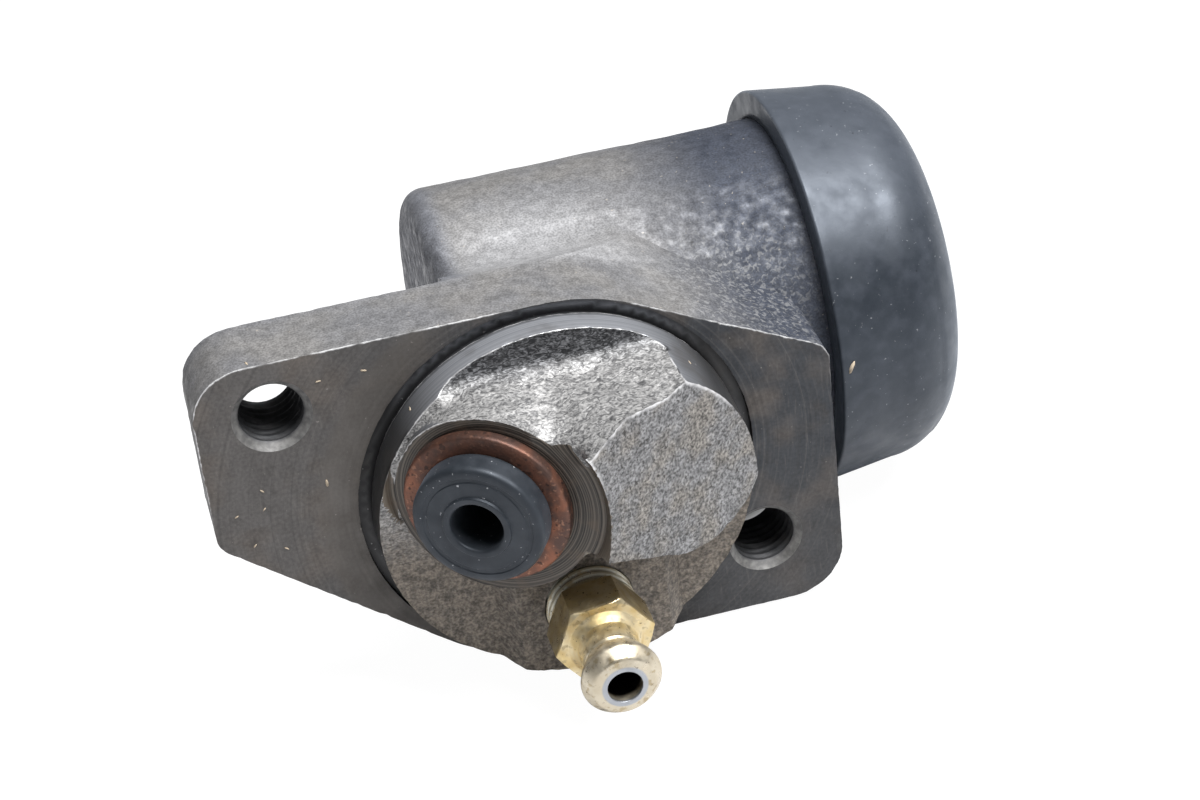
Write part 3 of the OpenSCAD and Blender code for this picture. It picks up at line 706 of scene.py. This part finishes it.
# %% Bored and tapped holes
bored = Finish("bored_hole", 0.4, 0.55)
tone = bored.patches((0.05, 0.052, 0.056), (0.10, 0.10, 0.105), 2, 3, 0.35, 0.7)
countersink = shade(bored, (0.26, 0.255, 0.245), 0.7, 0.6, 1.3)
tone = bored.fade(tone, countersink, "Y", 0.9, 0.5, 0.6)
bored.bump(bored.noise(0.4, 2), 0.01)
bored_hole = bored.done(tone)

for m in (cast_skin, milled_face, turned_wall, cast_facet, cast_saddle, spot_face, bored_hole):
    casting.data.materials.append(m)
print("finishes on the casting:", [m.name for m in casting.data.materials])

# %% [markdown]
# ## Turned and moulded pieces
# Boot, washer, plug and bleed screw are all round, so each is one outline spun about its axis. The
# corners of an outline are given with a radius, because rubber and turned metal never have a razor edge.
# An outline that closes on itself makes a ring; one that starts and ends on the axis makes a solid.


# %% Spin an outline about an axis
def arc(centre, radius, start, end, steps):
    return [(centre[0] + radius * math.cos(math.radians(start + (end - start) * k / steps)),
             centre[1] + radius * math.sin(math.radians(start + (end - start) * k / steps)))
            for k in range(steps + 1)]


def rounded(corners, closed=False, steps=5):
    """Outline through corners (r, h) or (r, h, radius), with each radius as a smooth curve."""
    out = []
    count = len(corners)
    for k, corner in enumerate(corners):
        p = Vector(corner[:2])
        if len(corner) == 2 or (not closed and k in (0, count - 1)):
            out.append(tuple(p))
            continue
        before, after = Vector(corners[k - 1][:2]) - p, Vector(corners[(k + 1) % count][:2]) - p
        reach = corner[2] / math.tan(before.angle(after) / 2)
        a, b = p + before.normalized() * reach, p + after.normalized() * reach
        for s in range(steps + 1):
            t = s / steps
            out.append(tuple(a * (1 - t) ** 2 + p * (2 * t * (1 - t)) + b * t ** 2))
    return out


def finer(outline, longest, closed=False):
    """Cuts the long straights of an outline, so that noise has points to move."""
    out = []
    ends = outline[1:] + (outline[:1] if closed else [])
    for a, b in zip(outline, ends):
        cuts = max(1, math.ceil(math.dist(a, b) / longest))
        out += [(a[0] + (b[0] - a[0]) * k / cuts, a[1] + (b[1] - a[1]) * k / cuts) for k in range(cuts)]
    return out if closed else out + [outline[-1]]


def spin(outline, place, steps=160, closed=False):
    """Points and faces of an outline of (radius, height) spun about local Z.
    A radius can be one number, or an array with one number per step."""
    angle = np.arange(steps) * 2 * math.pi / steps
    rows = [np.column_stack([np.cos(angle) * r, np.sin(angle) * r, np.full(steps, float(h))])
            for r, h in outline]
    local = np.concatenate(rows)
    faces = []
    count = len(outline)
    for i in range(count if closed else count - 1):
        j = (i + 1) % count
        for k in range(steps):
            m = (k + 1) % steps
            faces.append((i * steps + k, i * steps + m, j * steps + m, j * steps + k))
    bm = bmesh.new()
    verts = [bm.verts.new(p) for p in local]
    for f in faces:
        bm.faces.new([verts[i] for i in f])
    bmesh.ops.remove_doubles(bm, verts=bm.verts, dist=1e-5)
    bmesh.ops.recalc_face_normals(bm, faces=bm.faces)
    bm.verts.index_update()
    matrix = np.array(place)
    p = np.array([v.co for v in bm.verts]) @ matrix[:3, :3].T + matrix[:3, 3]
    f = [[v.index for v in face.verts] for face in bm.faces]
    bm.free()
    return p, f


BARREL = Matrix(((0, 0, 1, 0), (1, 0, 0, BARREL_Y), (0, 1, 0, 0), (0, 0, 0, 1)))
BLEED = Matrix(((1, 0, 0, BLEED_X), (0, 0, -1, 0), (0, 1, 0, BLEED_Z), (0, 0, 0, 1)))

# %% [markdown]
# ## Dust boot
# The boot is a rubber cap whose rim grips the barrel and whose lip grips the piston. On the real part the
# rim stays with the housing, the lip travels with the piston and the soft shoulder between them takes the
# stretch; here the boot is one rigid piece tied to no body. The rubber is nearly black but dull, with pale
# scuffs and dust, so its highlight is broad and soft.


# %% Rubber finishes
def rubber(name, dark, pale, dusty, roughness, sheen=0.14, painted_light_on_top=0.0):
    f = Finish(name, 0.0, roughness)
    f.surface.inputs["Specular IOR Level"].default_value = 0.6
    f.surface.inputs["Specular Tint"].default_value = (0.82, 0.89, 1.0, 1.0)
    f.surface.inputs["Sheen Weight"].default_value = sheen
    f.surface.inputs["Sheen Tint"].default_value = (0.72, 0.84, 1.0, 1.0)
    tone = f.patches(dark, pale, 1.6, 5, 0.35, 0.8)
    # Painted light: the upper side of the rubber runs into a paler colour, where the overhead light falls.
    tone = f.fade(tone, (0.10, 0.112, 0.135), "Z", 9, 22, painted_light_on_top)
    tone = f.patches(tone, (0.45, 0.46, 0.48), 0.45, 2, 0.70, 0.77, dusty)
    tone = f.patches(tone, (0.006, 0.006, 0.007), 0.7, 2, 0.28, 0.22, 0.7)
    f.bump(f.noise(0.9, 4), 0.012)
    f.bump(f.noise(0.22, 2), 0.004)
    return f.done(tone, f.step(f.noise(2.5, 4), -0.8, 1.8, roughness * 2))


boot_rubber = rubber("boot_rubber", (0.014, 0.018, 0.024), (0.030, 0.035, 0.045), 0.35, 0.46, 0.14, 0.45)

# %% Make the boot
section = rounded([(20.06, 33.6, 0.8), (23.3, 33.6, 0.4), (22.2, 41.6)], steps=8)
section += arc((14.0, 41.6), 8.2, 4, 90, 26)
section += rounded([(13.0, 49.8), (10.6, 49.8, 0.6), (10.6, 47.2), (8.66, 47.2, 0.3), (8.66, 44.2, 0.3),
                    (12.83, 44.2, 0.4), (12.83, 47.6)], steps=4)
section += arc((14.0, 41.6), 6.1, 90, 0, 14)
section += [(20.1, 39.6), (20.06, 39.56), (20.06, 37.4), (19.26, 37.3), (19.26, 35.8), (20.06, 35.7)]
p, f = spin(finer(section, 0.9, closed=True), BARREL, 200, closed=True)
out = unit((p - (0, BARREL_Y, 0)) * (0, 1, 1))
soft = np.array([0.10 * wave(q, 7, 21) + 0.03 * wave(q, 2, 23) for q in p])
p -= out * (soft * (np.hypot(p[:, 1] - BARREL_Y, p[:, 2]) > 20.6))[:, None]
boot = piece("boot", p, f, "boot_rubber", boot_rubber)
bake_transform(boot)
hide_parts("dust_boot")

# %% [markdown]
# ## Hose port: washer and plug
# A copper washer lies on the spot face and a rubber plug keeps dirt out until a hose is fitted. Both
# share the leaning axis of the port. The plug has a low collar round its blind hole and a shallow ring in
# its face.

# %% Make washer and plug
copper = Finish("dull_copper", 0.7, 0.5)
tone = copper.patches((0.27, 0.115, 0.072), (0.11, 0.066, 0.055), 1.8, 4, 0.35, 0.65)
tone = copper.patches(tone, (0.44, 0.23, 0.15), 0.5, 3, 0.58, 0.70, 0.6)
tone = copper.patches(tone, (0.035, 0.026, 0.024), 0.9, 3, 0.40, 0.30, 0.85)
# Painted shade: the upper part of the washer is darker, in the shade of the spot face's rim.
tone = copper.fade(tone, (0.07, 0.04, 0.032), "Z", 8, 14, 0.6)
copper.bump(copper.noise(0.5, 3), 0.05)
dull_copper = copper.done(tone)

section = rounded([(5.0, SPOT_H, 0.2), (WASHER_R, SPOT_H, 0.5), (WASHER_R, 14.7, 0.5), (5.0, 14.7, 0.2)],
                  closed=True)
p, f = spin(finer(section, 0.5, closed=True), PORT, 160, closed=True)
piece("washer", p, f, "copper", dull_copper, body="housing", node="port_washer")

plug_rubber = rubber("plug_rubber", (0.011, 0.014, 0.018), (0.022, 0.026, 0.032), 0.9, 0.52, 0.07)
section = rounded([(0, 5.7), (4.27, 5.7, 0.5), (4.27, 14.7), (7.1, 14.7, 0.3), (7.1, 17.7, 0.8),
                   (6.0, 17.7, 0.1), (5.9, 17.6, 0.1), (5.5, 17.6, 0.1), (5.4, 17.7, 0.1),
                   (3.75, 17.7, 0.1), (3.65, 18.0, 0.15), (2.85, 18.0, 0.4), (2.85, 7.1, 0.4), (0, 7.1)])
p, f = spin(finer(section, 0.7), PORT, 160)
piece("plug", p, f, "plug_rubber", plug_rubber, body="transit_plug", node="port_plug")

# %% [markdown]
# ## Bleed screw
# The screw is one turned bar: a seat at its tip, a thread, a hexagon, a neck and a bulb for the hose. A
# hexagon is still an outline spun about the axis, if its radius changes with the angle, and so is a
# thread, if the change of radius climbs with the angle. Yellow zinc plating is warm on the hexagon and
# wears to silver on the bulb.

# %% Outline of the bleed screw
HEX_LOW, HEX_TOP, HEX_HALF = 9.4, 14.3, 4.8
THREAD_ROOT, THREAD_RISE = 4.3, 0.58
steps = 180
angle = np.arange(steps) * 2 * math.pi / steps
hexagon = HEX_HALF / np.cos((angle % (math.pi / 3)) - math.pi / 6)


def screw_thread(h):
    """Radius of the thread at a height, one value per step of the turn."""
    fade = clamp((h + 2.6) / 0.6) * clamp((HEX_LOW - h) / 0.5)
    crest = np.clip(tooth(h / PITCH - angle / (2 * math.pi)) * 1.25 - 0.1, 0, 1)
    return THREAD_ROOT + THREAD_RISE * (1 - fade + fade * crest)


outline = [(0, -8.3), (0.9, -8.3), (3.2, -6.0), (3.2, -3.2), (4.6, -3.2), (4.88, -2.8)]
outline += [(screw_thread(h), h) for h in np.arange(-2.7, HEX_LOW, 0.13)]
for t in (0, 0.006, 0.02, 0.04, 0.065, 0.1, 0.5, 0.9, 0.935, 0.96, 0.98, 0.994, 1):
    h = HEX_LOW + t * (HEX_TOP - HEX_LOW)
    outline.append((np.minimum(hexagon, 5.0 + 1.6 * min(h - HEX_LOW, HEX_TOP - h)), h))
outline += rounded([(HEX_HALF, HEX_TOP), (4.1, HEX_TOP, 0.15), (3.75, 14.7, 0.2), (3.35, 15.3, 0.3),
                    (3.2, 16.2, 0.3), (3.15, 17.5, 0.1), (2.85, 17.8, 0.1), (2.85, 18.2, 0.1),
                    (3.5, 18.4, 0.06), (4.05, 19.6, 1.0), (4.42, 20.7, 0.7), (3.4, 22.0, 0.7),
                    (2.35, 22.28, 0.1), (1.9, 22.28, 0.1), (1.9, 21.8)])
outline += [(1.9, 18.0), (1.9, -3.2), (0.9, -3.2), (0.9, -4.4), (0, -4.4)]
p, f = spin(outline, BLEED @ Matrix.Rotation(math.radians(7), 4, "Z"), steps)
print("outline of the bleed screw:", len(outline), "rings")

# %% Plate the bleed screw
plate = Finish("yellow_zinc", 0.85, 0.42)
local = plate.add("ShaderNodeVectorMath", plate.mm, (BLEED_X, 0, BLEED_Z), operation="SUBTRACT").outputs[0]
from_screw = plate.radius((1, 0, 1), local)
tone = plate.patches((0.70, 0.55, 0.28), (0.80, 0.70, 0.48), 1.8, 3, 0.35, 0.7)
tone = plate.fade(tone, (0.60, 0.555, 0.47), "Y", -16.6, -18.2, 0.75)
tone = plate.fade(tone, (0.62, 0.64, 0.60), "Y", -9.8, -9.2, 0.8)
flats = plate.times(plate.step(from_screw, 4.70, 4.78, 0.6), plate.step(plate.axis("Y"), -14.1, -13.8))
tone = plate.mix(flats, tone, (0.25, 0.19, 0.095))
groove = plate.times(plate.step(from_screw, 4.75, 4.4, 0.9), plate.step(plate.axis("Y"), -9.4, -9.2))
tone = plate.mix(groove, tone, (0.10, 0.075, 0.04))
tone = plate.patches(tone, (0.40, 0.31, 0.17), 0.9, 4, 0.55, 0.68, 0.7)
tone = plate.patches(tone, (0.12, 0.09, 0.06), 0.4, 2, 0.66, 0.74, 0.8)
rim = plate.times(plate.step(from_screw, 2.6, 2.35), plate.step(plate.axis("Y"), -21.9, -22.1))
tone = plate.mix(rim, tone, (0.42, 0.44, 0.47))
# Painted shade: the wall of the hole is near black beyond its mouth.
inside = plate.times(plate.step(from_screw, 1.97, 1.92), plate.step(plate.axis("Y"), -21.6, -20.9))
tone = plate.mix(inside, tone, (0.012, 0.011, 0.010))
plate.bump(plate.noise(0.8, 3), 0.02)
plate.bump(plate.line(plate.axis("Y"), 0.25, 2), 0.01)
yellow_zinc = plate.done(tone, plate.step(plate.noise(1.2, 3), -0.2, 1.2, 0.84))
screw = piece("bleed_screw_plated", p, f, "plated_steel", yellow_zinc, body="bleeder", node="bleed_screw")
screw.data.set_sharp_from_angle(angle=math.radians(32))

# %% [markdown]
# ## Inside the bore
# Piston, seal and spreader are simple turned shapes that the boot hides, so the CAD nodes are shown as
# they are and only get a finish. The return spring is made again as a round wire, because the CAD one has
# flats. It sits between the bore's floor and the spreader; the real spring stretches as the piston moves,
# but this one is a fixed mesh tied to no body.


# %% Finish the hidden pieces
def steel(name, low, high):
    f = Finish(name, 1.0, 0.32)
    tone = f.patches(low, high, 3, 3, 0.35, 0.7)
    f.bump(f.noise(0.5, 2), 0.006)
    return f.done(tone)


hidden = {"piston": steel("turned_aluminium", (0.5, 0.51, 0.53), (0.62, 0.63, 0.65)),
          "cup_spreader": steel("pressed_steel", (0.55, 0.52, 0.42), (0.66, 0.63, 0.52)),
          "piston_seal": rubber("seal_rubber", (0.02, 0.021, 0.023), (0.03, 0.031, 0.034), 0.2, 0.4)}
for name, finish in hidden.items():
    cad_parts[name].data.materials.clear()
    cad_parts[name].data.materials.append(finish)
print("finished as they are:", list(hidden))

# %% Wind the spring
COIL_R, WIRE_R, COIL_START, COIL_LENGTH, TURNS = 8, 0.65, -1.35, 12.48, 5
sides, cuts = 12, TURNS * 72
along = np.arange(cuts + 1) / cuts
around = 2 * math.pi * TURNS * along
rings = []
for k in range(sides):
    tilt = 2 * math.pi * k / sides
    r = COIL_R + WIRE_R * math.cos(tilt)
    rings.append(np.column_stack([COIL_START + COIL_LENGTH * along + WIRE_R * math.sin(tilt),
                                  BARREL_Y + r * np.cos(around), r * np.sin(around)]))
p = np.stack(rings, axis=1).reshape(-1, 3)
f = []
for i in range(0, cuts * sides, sides):
    f += [(i + k, i + (k + 1) % sides, i + sides + (k + 1) % sides, i + sides + k) for k in range(sides)]
f += [tuple(range(sides))[::-1], tuple(cuts * sides + k for k in range(sides))]
spring = piece("spring", p, f, "spring_wire", steel("drawn_wire", (0.5, 0.51, 0.52), (0.62, 0.63, 0.64)))
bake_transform(spring)
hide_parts("return_spring")

# %% [markdown]
# ## Flecks
# A few pale chips of dried paint or packing dust lie on the part. Each chip is a thin plate with a ragged
# outline, laid flat on the surface below it, and a seeded random generator keeps the outlines the same in
# every run.

# %% Scatter the flecks
chips = [((x, 0, z), (0, -1, 0), size) for x, z, size in
         ((-24.5, 6.0, 0.4), (-33.1, 0.2, 0.22), (-18.7, 18.6, 0.3), (-23.5, 18.5, 0.25), (-34.4, 4.3, 0.2),
          (-31.3, 6.8, 0.22), (-31.4, 4.5, 0.2), (-29.9, -1.0, 0.22))]
chips += [((-30.3, 1.0, 21.8), (0, 0, 1), 0.3), ((-14.8, -1.96, 14.0), (-14.8, 0, 14.0), 0.3),
          ((14.3, -5.57, 14.4), (14.3, 0, 14.4), 0.3), ((34.83, 5.0, 2.28), (0, -23, 2.28), 0.62)]
sides, sunk, proud = 9, -0.1, 0.07
dice = np.random.default_rng(7)
p, f = [], []
for centre, normal, size in chips:
    n = Vector(normal).normalized()
    u = Matrix.Rotation(dice.uniform(0, 6.28), 3, n) @ n.orthogonal().normalized()
    v = n.cross(u)
    low = len(p)
    top = low + sides
    for height in (sunk, proud):
        base = Vector(centre) + n * height
        for k in range(sides):
            a = 2 * math.pi * k / sides
            r = size * dice.uniform(0.65, 1.1)
            p.append(base + u * (1.3 * r * math.cos(a)) + v * (0.4 * r * math.sin(a)))
    f += [(low + k, low + (k + 1) % sides, top + (k + 1) % sides, top + k) for k in range(sides)]
    f += [tuple(range(low, top))[::-1], tuple(range(top, top + sides))]
pale = Finish("pale_fleck", 0.0, 0.7)
tone = pale.mix(pale.noise(0.4, 2), (0.58, 0.49, 0.37), (0.36, 0.29, 0.21))
piece("flecks", p, f, "cast_body", pale.done(tone), body="housing")
print("chips:", len(chips))

# %% [markdown]
# ## Floor, light and camera
# The photo is a plain product shot on white. One large soft light hangs overhead, a little in front and
# to the right: that is where the broad highlight on the boot needs it. The floor is white to the camera
# and still catches a shadow. Right under the part its white fades out, or it would shine through the
# lower bolt hole, which is dark in the photo. The camera comes from fitting the drawing's circles and
# edges to the photo.

# %% Floor
FLOOR_Z, HALF_SIDE = -0.0234, 3.0
SHADE_CENTRE, SHADE_SIZE = (0.018, 0.025, FLOOR_Z), (0.020, 0.013, 1)
floor_mesh = bpy.data.meshes.new("floor")
corners = [(x * HALF_SIDE, y * HALF_SIDE, FLOOR_Z) for x, y in ((-1, -1), (1, -1), (1, 1), (-1, 1))]
floor_mesh.from_pydata(corners, [], [(0, 1, 2, 3)])
floor = bpy.data.objects.new("floor", floor_mesh)
bpy.context.scene.collection.objects.link(floor)

white = bpy.data.materials.new("white_floor")
white.use_nodes = True
tree = white.node_tree
tree.nodes.clear()
matt = add_node(tree, "ShaderNodeBsdfDiffuse", (0.65, 0.65, 0.66, 1))
glow = add_node(tree, "ShaderNodeEmission", None, 1.15)
rays = add_node(tree, "ShaderNodeLightPath").outputs
direct, through = rays["Is Camera Ray"], rays["Is Transmission Ray"]
seen = add_node(tree, "ShaderNodeMath", direct, through, operation="MAXIMUM")
place = add_node(tree, "ShaderNodeTexCoord").outputs["Object"]
under = add_node(tree, "ShaderNodeMapping", place, SHADE_CENTRE, None, SHADE_SIZE, vector_type="TEXTURE")
away = add_node(tree, "ShaderNodeVectorMath", under.outputs[0], operation="LENGTH").outputs["Value"]
share_glow = add_node(tree, "ShaderNodeMapRange", away, 0.6, 1.0, 0.0, 0.85)
most = add_node(tree, "ShaderNodeMath", seen.outputs[0], share_glow.outputs[0], operation="MULTIPLY")
both = add_node(tree, "ShaderNodeMixShader", most.outputs[0], matt.outputs[0], glow.outputs[0])
add_node(tree, "ShaderNodeOutputMaterial", both.outputs[0])
floor_mesh.materials.append(white)
print("floor at %.1f mm" % (FLOOR_Z * 1000))

# %% Surroundings and light
world = bpy.data.worlds.new("studio")
bpy.context.scene.world = world
world.use_nodes = True
tree = world.node_tree
rays = add_node(tree, "ShaderNodeLightPath").outputs
level = add_node(tree, "ShaderNodeMapRange", rays["Is Camera Ray"], 0.0, 1.0, 0.12, 1.0)
back = tree.nodes["Background"]
back.inputs["Color"].default_value = (1, 1, 1, 1)
feed(tree, back.inputs["Strength"], level.outputs[0])


def softbox(name, place, aim, size, watts):
    light = bpy.data.lights.new(name, "AREA")
    light.shape = "RECTANGLE"
    light.size, light.size_y = size
    light.energy = watts
    obj = bpy.data.objects.new(name, light)
    obj.location = place
    obj.rotation_euler = (Vector(aim) - Vector(place)).to_track_quat("-Z", "Y").to_euler()
    bpy.context.scene.collection.objects.link(obj)


softbox("key", (0.22, -0.15, 0.66), (0.01, 0.01, 0), (0.46, 0.46), 11)

# %% Camera
scene = bpy.context.scene
scene.view_settings.view_transform = "Standard"

azimuth, elevation, roll = (math.radians(a) for a in (-10.552, 33.082, -6.86))
DISTANCE, SHIFT_RIGHT, SHIFT_UP = 0.32155, 0.004423, 0.00838
back_way = Vector((math.sin(azimuth) * math.cos(elevation), -math.cos(azimuth) * math.cos(elevation),
                   math.sin(elevation)))
level_right = Vector((0, 0, 1)).cross(back_way).normalized()
level_up = back_way.cross(level_right)
right = math.cos(roll) * level_right + math.sin(roll) * level_up
up = -math.sin(roll) * level_right + math.cos(roll) * level_up
place = back_way * DISTANCE + right * SHIFT_RIGHT + up * SHIFT_UP
lens = bpy.data.cameras.new("camera")
lens.lens, lens.sensor_width, lens.clip_start = 90, 36, 0.01
camera = bpy.data.objects.new("camera", lens)
camera.matrix_world = Matrix.Translation(place) @ Matrix((right, up, back_way)).transposed().to_4x4()
scene.collection.objects.link(camera)
scene.camera = camera
print("camera at", [round(c, 4) for c in place])
